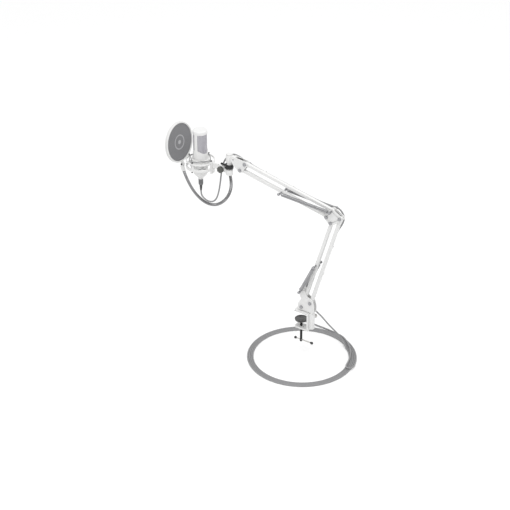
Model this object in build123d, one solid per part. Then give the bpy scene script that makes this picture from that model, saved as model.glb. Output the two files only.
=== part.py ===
"""Desktop condenser microphone in an elastic shock mount, on a sprung scissor arm with a desk clamp.

Row frame, millimetres: +Z up, the arm reaches towards -X and its plane is y = 0.
The origin is on the axis of the clamp screw, on the face that rests on the desk top.
"""
from build123d import *
from math import atan2, cos, degrees, hypot, radians, sin, tan
import os

os.makedirs("parts", exist_ok=True)

# --- Driving dimensions -------------------------------------------------------------------
floor_z = -166.0            # surface that the coiled lead lies on

# desk clamp
clamp_half_width = 14.0     # half the width of the steel strip
clamp_strip = 5.0           # its thickness
pad_rubber = 1.5            # rubber under the upper jaw
jaw_tip_x = -18.0
spine_x = 28.0              # inner face of the spine
lower_jaw_top = -53.0
socket_x = 37.5             # axis of the swivel post
socket_radius = 9.5
post_radius = 6.0
rivet_radius = 4.0
screw_radius = 4.0
screw_bottom = -111.0
tommy_z = -105.0
tommy_radius = 2.2
tommy_ends_x = (-21.0, 40.0)
screw_pad_radius = 21.0
screw_pad_top = -27.0

# scissor arm: both parallelograms, given by one pivot, the offset to its twin, length and tilt
bar = 10.0                  # square tube
bar_wall = 1.5
lower_pivot = (4.0, 19.0)
lower_offset = (31.0, 22.7)
lower_length = 338.0
lower_lean = 16.8           # degrees from vertical, towards +X
upper_pivot = (86.5, 358.0)
upper_offset = (17.5, 24.2)
upper_length = 320.0
upper_rise = 11.8           # degrees above horizontal, towards -X
plate_in = 5.4              # inner face of each side plate
plate_out = 7.9             # outer face
bolt_radius = 2.95
hole_radius = 3.0
bolt_head = 4.0
nut_height = 4.0
head_flats = 10.0
running = 0.1               # radial clearance of a turning fit

# balance springs
spring_radius = 5.5
spring_y = 17.0
spring_pin_radius = 2.5
spring_pin_end = 23.5
lower_spring_stud = (2.5, 76.5)
lower_spring_reach = 168.6  # from the front bar's lower pivot to its spring pin
upper_spring_reach = 165.0  # from the bottom bar's elbow pivot to its spring pin

# head of the arm
mic_post_x = -271.5
sleeve_z = (437.0, 461.0)
mic_post_radius = 7.9
mic_post_bottom = 396.0
tilt_axis = (-296.0, 408.6)
knob_radius = 10.2

# microphone and shock mount
mic_x = -381.9
mic_radius = 23.0
mic_top = 515.0
grille_z = (438.0, 506.0)
ring_outer = 45.5
lower_ring_z = (389.0, 397.0)
upper_ring_z = (411.5, 416.0)
basket_z = (398.0, 419.0)
plug_radius = 7.5

# pop filter
pop_centre = (-464.1, 450.9)
pop_radius = 64.5
pop_tilt = 7.0              # degrees, the top leans away from the microphone
pop_pivot = (-452.0, 379.5)
goose_radius = 5.0

# lead
cord = 5.0                  # diameter
coil_centre = (5.0, -4.0)
coil_radii = (148.5, 173.5)


# --- Helpers ------------------------------------------------------------------------------
def save(shape, node):
    shape.label = node
    export_step(shape, f"parts/{node}.step")


def cyl_y(radius, y0, y1, x, z):
    return Pos(x, (y0 + y1) / 2, z) * Rot(90, 0, 0) * Cylinder(radius, y1 - y0)


def cyl_z(radius, z0, z1, x=0.0, y=0.0):
    return Pos(x, y, (z0 + z1) / 2) * Cylinder(radius, z1 - z0)


def cyl_x(radius, x0, x1, y, z):
    return Pos((x0 + x1) / 2, y, z) * Rot(0, 90, 0) * Cylinder(radius, x1 - x0)


def box(x0, x1, y0, y1, z0, z1):
    return Pos((x0 + x1) / 2, (y0 + y1) / 2, (z0 + z1) / 2) * Box(x1 - x0, y1 - y0, z1 - z0)


def ring_z(outer, inner, z0, z1, x=0.0, y=0.0):
    return cyl_z(outer, z0, z1, x, y) - cyl_z(inner, z0 - 1, z1 + 1, x, y)


def side_plate(face, y0, y1):
    """Extrude a face drawn in x and z between two values of y."""
    plane = Plane(origin=(0, y1, 0), x_dir=(1, 0, 0), z_dir=(0, -1, 0))
    return extrude(plane * face, amount=y1 - y0)


def hull_face(circles):
    """The convex outline round circles given as (x, z, radius)."""
    edges = []
    for x, z, radius in circles:
        edges += (Pos(x, z) * Circle(radius)).edges()
    return make_hull(edges)


def hex_y(y0, y1, x, z):
    face = Pos(x, z) * RegularPolygon(head_flats / 2, 6, major_radius=False)
    return side_plate(face, y0, y1)


def beside(point, offset):
    return (point[0] + offset[0], point[1] + offset[1])


def rod(start, end, radius):
    """A round rod between two points."""
    a = Vector(*start)
    b = Vector(*end)
    plane = Plane(origin=a, z_dir=b - a)
    return extrude(plane * Circle(radius), amount=(b - a).length)


def tube_bar(a, b, pin_reach=None):
    """A square tube with closed, rounded ends and a pivot hole at each end, from a to b in x, z."""
    length = hypot(b[0] - a[0], b[1] - a[1])
    half = bar / 2
    outline = SlotCenterToCenter(length, bar)
    body = Pos(length / 2, 0, 0) * side_plate(outline, -half, half)
    bore = bar - 2 * bar_wall
    body -= Pos(length / 2, 0, 0) * Box(length - 28, bore, bore)
    body = fillet(body.edges().filter_by(Axis.X), 0.9)
    for x in (0, length):
        body -= cyl_y(hole_radius, -bar, bar, x, 0)
    if pin_reach:
        body -= cyl_y(spring_pin_radius, -bar, bar, pin_reach, 0)
    turn = degrees(atan2(b[1] - a[1], b[0] - a[0]))
    return Pos(a[0], 0, a[1]) * Rot(0, -turn, 0) * body


def pivot_bolt(x, z):
    """A hexagon bolt across both side plates, head on the near side, and its nut as a second solid."""
    bolt = hex_y(-plate_out - bolt_head, -plate_out, x, z)
    bolt += cyl_y(bolt_radius, -plate_out, plate_out + nut_height + 0.4, x, z)
    nut = hex_y(plate_out, plate_out + nut_height, x, z) - cyl_y(bolt_radius, 0, 20, x, z)
    return [bolt, nut]


def spring_pair(near_pin, far_pin):
    """Two closed-wound springs, one each side, with an eye round each pin; the outer shape only."""
    springs = []
    for side in (-1, 1):
        y = side * spring_y
        a = Vector(near_pin[0], y, near_pin[1])
        b = Vector(far_pin[0], y, far_pin[1])
        way = (b - a).normalized()
        solid = rod(a + way * 12, b - way * 12, spring_radius)
        for eye, out in ((a, way), (b, way * -1)):
            solid += rod(eye + out * 3.8, eye + out * 12.5, 1.0)
            solid += Pos(eye.X, y, eye.Z) * Rot(90, 0, 0) * Torus(3.8, 1.0)
        springs.append(solid)
    return springs


def corner_radii(points):
    """Each corner's arc: 0.45 of the shorter run over the tangent of half the turn."""
    radii = []
    for before, here, after in zip(points, points[1:], points[2:]):
        u = Vector(*here) - Vector(*before)
        v = Vector(*after) - Vector(*here)
        half_turn = radians(u.get_angle(v)) / 2
        radii.append(0.45 * min(u.length, v.length) / tan(half_turn))
    return radii


def tube(points, diameter, name):
    """A round tube of straight runs joined by tangent arcs."""
    radii = corner_radii(points)
    path = FilletPolyline(*points, radius=radii)
    section = Plane(origin=path @ 0, z_dir=path % 0) * Circle(diameter / 2)
    solid = sweep(section, path=path)
    share = solid.volume / (3.14159265 * diameter ** 2 / 4 * path.length)
    print(f"{name}: length {path.length:.0f}, volume share {share:.3f}, radii", [round(r) for r in radii])
    return solid


# --- Arm geometry -------------------------------------------------------------------------
lean = radians(lower_lean)
rise = radians(upper_rise)
lower_way = (sin(lean), cos(lean))
upper_way = (-cos(rise), sin(rise))
front_base = lower_pivot
rear_base = beside(front_base, lower_offset)
front_elbow = beside(front_base, (lower_length * lower_way[0], lower_length * lower_way[1]))
rear_elbow = beside(front_elbow, lower_offset)
bottom_elbow = upper_pivot
top_elbow = beside(bottom_elbow, upper_offset)
bottom_head = beside(bottom_elbow, (upper_length * upper_way[0], upper_length * upper_way[1]))
top_head = beside(bottom_head, upper_offset)
lower_pin = beside(front_base, (lower_spring_reach * lower_way[0], lower_spring_reach * lower_way[1]))
upper_pin = beside(bottom_elbow, (upper_spring_reach * upper_way[0], upper_spring_reach * upper_way[1]))
print("pivots", front_base, rear_base, front_elbow, rear_elbow)
print("pivots", bottom_elbow, top_elbow, bottom_head, top_head)


# --- Desk clamp ---------------------------------------------------------------------------
def desk_clamp():
    w = clamp_half_width
    top = pad_rubber + clamp_strip
    jaw_low = lower_jaw_top - clamp_strip
    frame = box(jaw_tip_x, spine_x + clamp_strip, -w, w, pad_rubber, top)
    frame += box(spine_x, spine_x + clamp_strip, -w, w, jaw_low, top)
    frame += box(jaw_tip_x, spine_x + clamp_strip, -w, w, jaw_low, lower_jaw_top)
    frame = fillet(frame.edges().filter_by(Axis.Z).group_by(Axis.X)[0], 6)
    frame += cyl_z(9, jaw_low - 5, jaw_low)
    frame += cyl_z(socket_radius, -50, top, socket_x)
    frame -= cyl_z(post_radius + running, -60, 10, socket_x)
    frame -= cyl_z(screw_radius + running, -70, -50)
    frame += cyl_y(6, 9, 14, socket_x, -16) - cyl_z(post_radius + running, -60, 10, socket_x)
    frame -= cyl_y(3.0, 4, 16, socket_x, -16)
    save(frame, "clamp_frame")
    save(box(jaw_tip_x, spine_x - 1, -w + 1, w - 1, 0, pad_rubber), "jaw_pad")

    screw = cyl_z(screw_radius, screw_bottom, -31.5)
    screw -= cyl_x(tommy_radius + running, -10, 10, 0, tommy_z)
    save(screw, "clamp_screw")

    pad = cyl_z(screw_pad_radius, -31, screw_pad_top) + cyl_z(8, -38, -31)
    pad -= cyl_z(17.5, screw_pad_top - 1.2, screw_pad_top)
    pad -= cyl_z(screw_radius + running, -39, -31.4)
    pad = fillet(pad.edges().filter_by(GeomType.CIRCLE).sort_by(SortBy.RADIUS)[-2:], 0.8)
    save(pad, "screw_pad")

    left, right = tommy_ends_x
    rod_and_balls = [cyl_x(tommy_radius, left, right, 0, tommy_z)]
    for x in (left, right):
        rod_and_balls.append(Pos(x, 0, tommy_z) * Sphere(4.4) - rod_and_balls[0])
    save(Compound(rod_and_balls), "tommy_bar")

    lock = cyl_y(2.9, 6.2, 16, socket_x, -16) + cyl_y(6.5, 16, 24, socket_x, -16)
    save(lock, "lock_screw")


# --- Swivel base --------------------------------------------------------------------------
def base():
    post = cyl_z(post_radius, -46, 8.3, socket_x) + cyl_z(9, 6.8, 8.3, socket_x)
    post += cyl_z(rivet_radius, 8.3, 11.3, socket_x) + cyl_z(5.2, 11.3, 12.6, socket_x)
    save(post, "swivel_post")

    outline = [
        (-9, 8.3), (50, 8.3), (50, 36), (44, 54), (24, 62), (11, 85), (-5, 85), (-6, 68), (2, 48), (-9, 28),
    ]
    face = make_face(Polyline(*outline, close=True))
    face = fillet(face.vertices(), 4)
    bracket = side_plate(face, -plate_out, -plate_in) + side_plate(face, plate_in, plate_out)
    bracket += box(-5, 46, -plate_out, plate_out, 8.3, 11.3)
    bracket -= cyl_z(rivet_radius, 0, 20, socket_x)
    for x, z in (front_base, rear_base):
        bracket -= cyl_y(bolt_radius, -20, 20, x, z)
    x, z = lower_spring_stud
    bracket -= cyl_y(2.0, -20, 20, x, z)
    save(bracket, "base_bracket")

    pivots = []
    for x, z in (front_base, rear_base):
        pivots += pivot_bolt(x, z)
    save(Compound(pivots), "base_pivots")

    studs = []
    x, z = lower_spring_stud
    for side in (-1, 1):
        low, high = sorted((side * plate_in, side * plate_out))
        stud = cyl_y(2.0, low, high, x, z)
        low, high = sorted((side * plate_out, side * spring_pin_end))
        stud += cyl_y(spring_pin_radius, low, high, x, z)
        low, high = sorted((side * (spring_pin_end - 1.5), side * (spring_pin_end + 0.5)))
        stud += cyl_y(4.5, low, high, x, z)
        studs.append(stud)
    save(Compound(studs), "spring_studs")

    x, y, z = clip_point
    clip = cyl_z(4.4, z - 2.5, z + 2.5, x, y) + box(x - 3, x + 3, plate_out, y, z - 2.5, z + 2.5)
    save(clip - cyl_z(cord / 2 + 0.4, z - 9, z + 9, x, y), "base_cable_clip")


def spring_pin(x, z, shank_radius):
    """A pin right through a bar, with a wide head at each end that keeps the springs on."""
    pin = cyl_y(shank_radius, -spring_pin_end, spring_pin_end, x, z)
    for side in (-1, 1):
        low, high = sorted((side * (spring_pin_end - 1.5), side * (spring_pin_end + 0.5)))
        pin += cyl_y(4.5, low, high, x, z)
    return pin


# --- Lower and upper arm ------------------------------------------------------------------
def arms():
    save(tube_bar(front_base, front_elbow, lower_spring_reach), "lower_front_bar")
    save(tube_bar(rear_base, rear_elbow), "lower_rear_bar")
    save(spring_pin(*lower_pin, spring_pin_radius), "lower_spring_pin")
    save(Compound(spring_pair(lower_spring_stud, lower_pin)), "lower_springs")
    save(tube_bar(bottom_elbow, bottom_head, upper_spring_reach), "upper_bottom_bar")
    save(tube_bar(top_elbow, top_head), "upper_top_bar")
    save(spring_pin(*upper_pin, spring_pin_radius), "upper_spring_pin")
    save(Compound(spring_pair(top_elbow, upper_pin)), "upper_springs")


def elbow():
    pivots = (front_elbow, rear_elbow, bottom_elbow, top_elbow)
    face = hull_face([(x, z, 9.0) for x, z in pivots])
    plates = []
    for low, high in ((-plate_out, -plate_in), (plate_in, plate_out)):
        plate = side_plate(face, low, high)
        for x, z in pivots:
            plate -= cyl_y(bolt_radius, -20, 20, x, z)
        plates.append(plate)
    save(Compound(plates), "elbow_plates")
    solids = []
    for x, z in (front_elbow, rear_elbow, bottom_elbow):
        solids += pivot_bolt(x, z)
    x, z = top_elbow
    long_bolt = cyl_y(bolt_radius, -plate_out, plate_out, x, z)
    for side in (-1, 1):
        low, high = sorted((side * plate_out, side * spring_pin_end))
        long_bolt += cyl_y(spring_pin_radius, low, high, x, z)
        low, high = sorted((side * (spring_pin_end - 1.5), side * (spring_pin_end + 0.5)))
        long_bolt += cyl_y(4.5, low, high, x, z)
    solids.append(long_bolt)
    save(Compound(solids), "elbow_pivots")


def head():
    nose = (-252.0, 452.0)
    face = hull_face([(*bottom_head, 9.0), (*top_head, 9.0), (*nose, 9.0), (-246.0, 440.0, 9.0)])
    plates = []
    for low, high in ((-plate_out, -plate_in), (plate_in, plate_out)):
        plate = side_plate(face, low, high) - cyl_y(2.0, -20, 20, *nose)
        for x, z in (bottom_head, top_head):
            plate -= cyl_y(bolt_radius, -20, 20, x, z)
        plates.append(plate)
    save(Compound(plates), "head_plates")
    pivots = pivot_bolt(*bottom_head) + pivot_bolt(*top_head)
    pivots.append(cyl_y(2.0, -plate_out - 1, plate_out + 1, *nose))
    save(Compound(pivots), "head_pivots")

    low, high = sleeve_z
    sleeve = cyl_z(11, low, high, mic_post_x) + box(mic_post_x, -246, -plate_in, plate_in, 441, 459)
    sleeve -= cyl_z(post_radius + running, low - 1, high + 1, mic_post_x)
    sleeve -= cyl_y(2.0, -20, 20, *nose)
    save(sleeve, "post_sleeve")
    save(box(-243, -224, -plate_in, plate_in, 444, 457), "head_spacer")

    post = cyl_z(post_radius, low - 1, high + 1, mic_post_x) + cyl_z(9.5, high + 0.4, high + 3.4, mic_post_x)
    post += cyl_z(mic_post_radius, mic_post_bottom, low - 0.4, mic_post_x)
    save(post, "mic_post")

    x, z = tilt_axis
    fork = cyl_z(11, mic_post_bottom - 2, 412, mic_post_x)
    fork += box(x + 10, mic_post_x, -8, 8, z - 8, 412)
    for side in (-1, 1):
        low, high = sorted((side * 3.3, side * 8))
        fork += cyl_y(9, low, high, x, z) + box(x, x + 11, low, high, z - 8, z + 8 - 4.6)
    fork -= cyl_z(mic_post_radius, mic_post_bottom, 420, mic_post_x)
    fork -= cyl_y(2.55, -20, 20, x, z)
    save(fork, "tilt_fork")
    bolt = cyl_y(2.5, -12, 8, x, z) + hex_y(8, 12, x, z)
    save(bolt, "tilt_bolt")
    knob = cyl_y(knob_radius, -20, -9.2, x, z) + cyl_y(5.5, -9.2, -8.3, x, z)
    grooves = [Pos(x, -15, z) * Rot(0, 60 * i, 0) * Pos(knob_radius + 1.6, 0, 0) * Rot(90, 0, 0)
               * Cylinder(3.0, 14) for i in range(6)]
    for groove in grooves:
        knob -= groove
    knob -= cyl_y(2.6, -12.2, -5, x, z)
    save(knob, "tilt_knob")


# --- Shock mount --------------------------------------------------------------------------
hook_angles = (0, 90, 180, 270)


def around(radius, angle):
    return (mic_x + radius * cos(radians(angle)), radius * sin(radians(angle)))


def shock_mount():
    low, high = lower_ring_z
    up_low, up_high = upper_ring_z
    frame = ring_z(ring_outer, ring_outer - 4.5, low, high, mic_x)
    frame += ring_z(ring_outer, ring_outer - 3.5, up_low, up_high, mic_x)
    for angle in (90, 180, 270):
        px, py = around(ring_outer - 2.3, angle)
        frame += cyl_z(2.0, high - 1, up_low + 1, px, py)
    plate_x = mic_x + ring_outer
    frame += box(plate_x - 3, plate_x + 2.5, -8, 8, 380, 418)
    x, z = tilt_axis
    frame += box(plate_x, x - 16, -3, 3, z - 8.5, z + 8.5) + box(x - 16, x, -3, 3, z - 5, z + 5)
    frame += cyl_y(7.5, -3, 3, x, z)
    frame -= cyl_y(2.6, -10, 10, x, z)
    save(frame, "mount_frame")

    hooks = []
    for angle in hook_angles:
        for z0, z1, reach in ((up_high, up_high + 5, ring_outer - 2), (low - 4, low, ring_outer - 2)):
            px, py = around(reach - (2 if angle == 0 else 0), angle)
            hook = cyl_z(1.4, z0, z1, px, py)
            cap = (z1 - 1.5, z1) if z0 >= up_high else (z0, z0 + 1.5)
            hook += cyl_z(2.6, *cap, px, py)
            hooks.append(hook)
    save(Compound(hooks), "cord_hooks")

    low, high = basket_z
    basket = ring_z(mic_radius + 3.5, mic_radius + 0.1, low, high, mic_x)
    basket += ring_z(mic_radius + 5.5, mic_radius + 0.1, low, low + 2, mic_x)
    basket += ring_z(mic_radius + 5.5, mic_radius + 0.1, high - 2, high, mic_x)
    for angle in (45, 135, 225, 315):
        for z0, z1 in ((high, high + 4), (low - 4, low)):
            px, py = around(mic_radius + 4.2, angle)
            basket += cyl_z(1.1, z0, z1, px, py)
    lug = Rot(0, 0, -38) * Pos(mic_radius + 5.5, 0, (low + high) / 2) * Box(5, 8, 12)
    basket += Pos(mic_x, 0, 0) * (lug - cyl_z(mic_radius + 1, low, high))
    clasp = Pos(mic_x, 0, 0) * Rot(0, 0, -38) * Pos(mic_radius + 9, 0, (low + high) / 2) * Box(2, 6, 9)
    save(Compound([basket, clasp]), "mic_basket")

    laces = []
    for z_out, z_in in ((up_high + 2.2, high + 2.2), (lower_ring_z[0] - 1.6, low - 2.2)):
        points = []
        for i in range(8):
            angle = 45 * i
            out = i % 2 == 0
            reach = ring_outer - 5.2 if out else mic_radius + 7.4
            px, py = around(reach, angle)
            points.append((px, py, z_out if out else z_in))
        solid = rod(points[0], points[1], 1.1)
        for start, end in zip(points[1:], points[2:] + points[:1]):
            solid += rod(start, end, 1.1)
        for point in points:
            solid += Pos(*point) * Sphere(1.1)
        laces.append(solid)
    save(Compound(laces), "elastic_cords")


# --- Microphone ---------------------------------------------------------------------------
def microphone():
    r = mic_radius
    g0, g1 = grille_z
    shell = ring_z(r, r - 1.6, 372, g1 + 0.5, mic_x)
    tail = Pos(mic_x, 0, 367.5) * Cone(18.5, r, 9) + Pos(mic_x, 0, 358) * Cone(8.5, 18.5, 10)
    tail += cyl_z(8.5, 349, 353, mic_x)
    tail -= Pos(mic_x, 0, 369.5) * Cone(17.5, r - 1.6, 9)
    tail -= cyl_z(6.4, 340, 380, mic_x)
    wedge = make_face(Polyline((0, 0), (60, 60 * tan(radians(76))), (60, -60 * tan(radians(76))), close=True))
    window = extrude(Plane(origin=(0, 0, g0)) * wedge, amount=g1 - g0 - 2)
    slot = box(0, 60, -26, 26, 466, g1) + cyl_x(26, 0, 60, 0, 466)
    for turn in (0, 180):
        shell -= Pos(mic_x, 0, 0) * Rot(0, 0, turn) * (window & slot)
    save(shell + tail, "mic_body")

    cap = cyl_z(r, g1 + 0.5, mic_top, mic_x)
    cap = fillet(cap.edges().sort_by(Axis.Z)[-1], 3.5)
    cap += cyl_z(r - 2.2, g1 - 4, g1 + 0.5, mic_x)
    save(cap, "mic_cap")
    save(ring_z(r - 1.7, r - 2.1, g0 - 2, g1, mic_x), "mic_grille")

    capsule = cyl_x(17, mic_x - 5, mic_x + 5, 0, 476)
    holder = box(mic_x - 4, mic_x + 4, -6, 6, 440, 460) + cyl_z(19.5, 436, 440, mic_x)
    save(capsule, "capsule")
    save(holder - cyl_x(17, mic_x - 6, mic_x + 6, 0, 476), "capsule_holder")
    save(box(mic_x - 0.8, mic_x + 0.8, -15, 15, 376, 436), "circuit_board")

    socket = cyl_z(6.3, 361, 371, mic_x)
    for angle in (60, 180, 300):
        px, py = around(3.4, angle) if angle else (mic_x, 0)
        socket += cyl_z(0.9, 354, 361, px, py)
    save(socket, "xlr_socket")
    plug = cyl_z(6.2, 348, 360.5, mic_x) + cyl_z(plug_radius, 328, 348.8, mic_x)
    for angle in (60, 180, 300):
        px, py = around(3.4, angle)
        plug -= cyl_z(1.0, 353, 361, px, py)
    save(plug, "xlr_plug")
    save(Pos(mic_x, 0, 318) * Cone(3.2, 4.8, 20), "xlr_boot")


# --- Pop filter ---------------------------------------------------------------------------
def pop_disc(radius, hole, x0, x1):
    """A disc or hoop square to the filter's axis; x0 and x1 are along that axis from its centre."""
    solid = cyl_x(radius, x0, x1, 0, 0)
    if hole:
        solid -= cyl_x(hole, x0 - 1, x1 + 1, 0, 0)
    return Pos(pop_centre[0], 0, pop_centre[1]) * Rot(0, -pop_tilt, 0) * solid


goose_route = [
    (-283, 14, 415), (-280.5, 14, 389), (-275, 13.5, 364), (-274.5, 12, 339), (-283, 9.5, 312), (-303, 7, 285),
    (-331, 4.5, 267), (-363, 1.5, 266), (-391, 0, 279), (-415, 0, 299), (-434, 0, 326), (-448, 0, 354),
    (-453, 0, 369),
]


def pop_filter():
    ring = ring_z(13, mic_post_radius + 0.3, 416, 428, mic_post_x)
    ring += cyl_z(8, 416, 428, -283, 14)
    ring -= cyl_z(mic_post_radius + 0.3, 410, 430, mic_post_x)
    ring += cyl_x(4, -290, -283, 0, 422)
    ring -= cyl_x(2.1, -296, -275, 0, 422)
    ring -= cyl_z(goose_radius, 410, 424, -283, 14)
    save(ring, "pop_clamp")
    screw = cyl_x(2.0, -297, -279.8, 0, 422) + cyl_x(3.5, -303, -297, 0, 422)
    save(screw, "pop_clamp_screw")

    goose = tube(goose_route, 2 * goose_radius, "gooseneck")
    save(goose, "gooseneck")

    x, z = pop_pivot
    end = Vector(*goose_route[-1])
    way = (end - Vector(*goose_route[-2])).normalized()
    ferrule = rod(end - way * 14, end, goose_radius + 1.2) - rod(end - way * 14, end, goose_radius)
    ferrule += rod(end, end + way * 3, goose_radius + 1.2)
    for side in (-1, 1):
        low, high = sorted((side * 2.3, side * 5))
        ferrule += cyl_y(4.5, low, high, x, z)
        ferrule += box(x - 4.5, x + 3.5, low, high, end.Z + 0.5, z)
    ferrule -= cyl_y(1.6, -10, 10, x, z)
    save(ferrule, "pop_fork")
    screw = cyl_y(1.5, -5, 6.5, x, z) + cyl_y(3.0, -7, -5, x, z) + cyl_y(3.0, 5, 7, x, z)
    save(screw, "pop_pivot_screw")

    lug = cyl_y(4.0, -2, 2, x, z) + box(x - 4, x + 4, -2, 2, z, z + 9)
    lug += box(x - 8, x + 4, -2, 2, z + 3.5, z + 9)
    rear = pop_disc(pop_radius, 59.5, -4.6, 0.0) + (lug - cyl_y(1.6, -10, 10, x, z))
    save(rear, "pop_hoop_rear")
    front = pop_disc(pop_radius, 59.5, 0.6, 5.0) - box(x - 12, x + 12, -6, 6, z - 10, z + 10)
    save(front, "pop_hoop_front")
    save(Compound([pop_disc(59.3, None, -1.4, -0.9), pop_disc(59.3, None, 1.5, 2.0)]), "pop_meshes")


# --- Lead ---------------------------------------------------------------------------------
def lead_in(route, length):
    """The point that far before a route's start, in line with its first run."""
    way = (Vector(*route[0]) - Vector(*route[1])).normalized()
    return tuple(Vector(*route[0]) + way * length)


upper_run = [
    (-186, 10.6, 441.6), (-164, 8.7, 437.8), (-125, 8.2, 430), (-70, 8.35, 418.2), (-20, 8.2, 408.2),
    (28, 8.35, 398), (57, 9.0, 393.4), (76, 9.9, 390.9),
]
lower_run = [
    (114.6, 8.95, 304.5), (106.8, 8.3, 279), (92, 8.2, 231), (75.7, 8.35, 176), (61.5, 8.3, 129.5),
    (52.2, 10.6, 99.5), (44.3, 11.3, 73.5),
]
loop_route = [
    (-381.9, 0, 308), (-381.9, 0, 297), (-376.5, -1, 287.5), (-363.5, -2.2, 280.5), (-346, -3, 278.3),
    (-330, -2.7, 284.5), (-318.5, -2, 300), (-312.5, 0, 324), (-310, 4.5, 353), (-310.5, 10.5, 382),
    (-308, 13.5, 408), (-298.5, 13.8, 431), (-283.5, 13.8, 449), (-265, 13.8, 459.5), (-245.5, 14, 457.5),
    (-228, 15.6, 449.8), (-207, 16.9, 445.2), lead_in(upper_run, 10), upper_run[0],
]
elbow_route = [
    upper_run[-1], lead_in(upper_run[::-1], 15), (106, 12.8, 390), (119, 14.9, 384.7), (129, 16.1, 374),
    (134.5, 16.2, 360), (132, 15.6, 346), (127.3, 12.4, 333), lead_in(lower_run, 14), lower_run[0],
]
clip_point = (32.0, 16.3, 28.5)
drop_route = [
    lower_run[-1], lead_in(lower_run[::-1], 12), (35.8, 14.9, 50), (32, 16.3, 39), (32, 16.3, 19), (34, 19, 8),
    (38.5, 27, -7), (41.5, 40, -25), (42.6, 60, -52), (43, 86, -84), (46, 109, -112), (52.5, 126, -135),
    (64, 132, -150), (81, 125.5, -159.2), (100, 112, -163.5), (113.5, 97.5, -163.5),
]
tail_route = [
    (36, 168.2, -163.5), (12, 172.6, -163.5), (-16, 175.1, -163.5), (-44, 176.1, -163.5),
    (-68, 177, -163.5), (-82, 177.5, -163.5),
]


def bar_clips(route, runs, start, way):
    """Saddles stuck to a bar's far face, each bored for the run of the lead that passes through it."""
    clips = []
    turn = degrees(atan2(way[1], way[0]))
    for i in runs:
        a = Vector(*route[i])
        b = Vector(*route[i + 1])
        along = ((a.X + b.X) / 2 - start[0]) * way[0] + ((a.Z + b.Z) / 2 - start[1]) * way[1]
        place = Pos(start[0] + along * way[0], 0, start[1] + along * way[1])
        block = place * Rot(0, -turn, 0) * box(-3.5, 3.5, bar / 2, 11.8, -4.4, 4.4)
        clips.append(block - rod(a, b, cord / 2 + 0.1))
    return Compound(clips)


def lead():
    save(tube(loop_route, cord, "cable_mic_loop"), "cable_mic_loop")
    save(tube(upper_run, cord, "cable_upper_run"), "cable_upper_run")
    save(tube(elbow_route, cord, "cable_elbow_bend"), "cable_elbow_bend")
    save(tube(lower_run, cord, "cable_lower_run"), "cable_lower_run")
    save(tube(drop_route, cord, "cable_drop"), "cable_drop")
    save(bar_clips(upper_run, (1, 3), top_elbow, upper_way), "upper_cable_clips")
    save(bar_clips(lower_run, (1, 3), rear_base, lower_way), "lower_cable_clips")
    inner, outer = coil_radii
    coil = ring_z(outer, inner, floor_z, floor_z + cord, *coil_centre)
    save(coil, "cable_coil")
    save(tube(tail_route, cord, "cable_tail"), "cable_tail")
    end = Vector(*tail_route[-1])
    way = (end - Vector(*tail_route[-2])).normalized()
    end = Vector(end.X, end.Y, floor_z + 3.6)
    save(rod(end, end + way * 24, 3.6) + rod(end + way * 24, end + way * 38, 1.75), "jack_plug")


desk_clamp()
base()
arms()
elbow()
head()
shock_mount()
microphone()
pop_filter()
lead()
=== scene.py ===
"""Condenser microphone in a shock mount on a sprung scissor arm: the looks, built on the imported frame."""
import math

import bmesh
import bpy
from mathutils import Matrix, Vector


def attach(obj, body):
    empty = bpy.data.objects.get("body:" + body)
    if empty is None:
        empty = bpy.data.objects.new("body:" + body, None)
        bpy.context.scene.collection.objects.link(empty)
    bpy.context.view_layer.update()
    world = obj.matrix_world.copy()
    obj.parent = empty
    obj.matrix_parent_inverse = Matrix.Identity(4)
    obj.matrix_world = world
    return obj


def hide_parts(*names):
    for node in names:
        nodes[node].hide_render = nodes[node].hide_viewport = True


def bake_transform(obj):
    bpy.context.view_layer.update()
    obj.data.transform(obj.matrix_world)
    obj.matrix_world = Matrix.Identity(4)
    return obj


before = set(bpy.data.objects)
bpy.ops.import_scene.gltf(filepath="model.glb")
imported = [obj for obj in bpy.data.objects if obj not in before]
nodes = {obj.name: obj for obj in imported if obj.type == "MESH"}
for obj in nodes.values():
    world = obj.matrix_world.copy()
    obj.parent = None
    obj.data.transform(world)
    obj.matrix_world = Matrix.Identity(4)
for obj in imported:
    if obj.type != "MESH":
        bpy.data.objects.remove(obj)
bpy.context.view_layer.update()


# --- Camera, floor and light --------------------------------------------------------------
# A long lens looks down on the arm from its near right side. The floor is one pale matt sheet under a
# broad overhead softbox, with white walls all round for fill.
camera = bpy.data.objects.new("camera", bpy.data.cameras.new("camera"))
bpy.context.scene.collection.objects.link(camera)
camera.data.lens = 110.1
camera.data.sensor_width = 36
camera.location = (2.2464, -3.4598, 2.5306)
camera_azimuth, camera_elevation = 35, 29.5
camera.rotation_euler = (math.radians(90 - camera_elevation), 0, math.radians(camera_azimuth))
bpy.context.scene.camera = camera

walls = bpy.data.worlds.new("white walls")
walls.use_nodes = True
tree = walls.node_tree
glow = tree.nodes["Background"]
glow.inputs["Color"].default_value = (1, 1, 1, 1)
from_above = tree.nodes.new("ShaderNodeTexCoord")
height_of = tree.nodes.new("ShaderNodeSeparateXYZ")
brighter_above = tree.nodes.new("ShaderNodeMapRange")
brighter_above.inputs["To Min"].default_value = 0.62
brighter_above.inputs["To Max"].default_value = 1.3
tree.links.new(from_above.outputs["Generated"], height_of.inputs["Vector"])
tree.links.new(height_of.outputs["Z"], brighter_above.inputs["Value"])
tree.links.new(brighter_above.outputs["Result"], glow.inputs["Strength"])
bpy.context.scene.world = walls
bpy.context.scene.view_settings.view_transform = "Standard"

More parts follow.
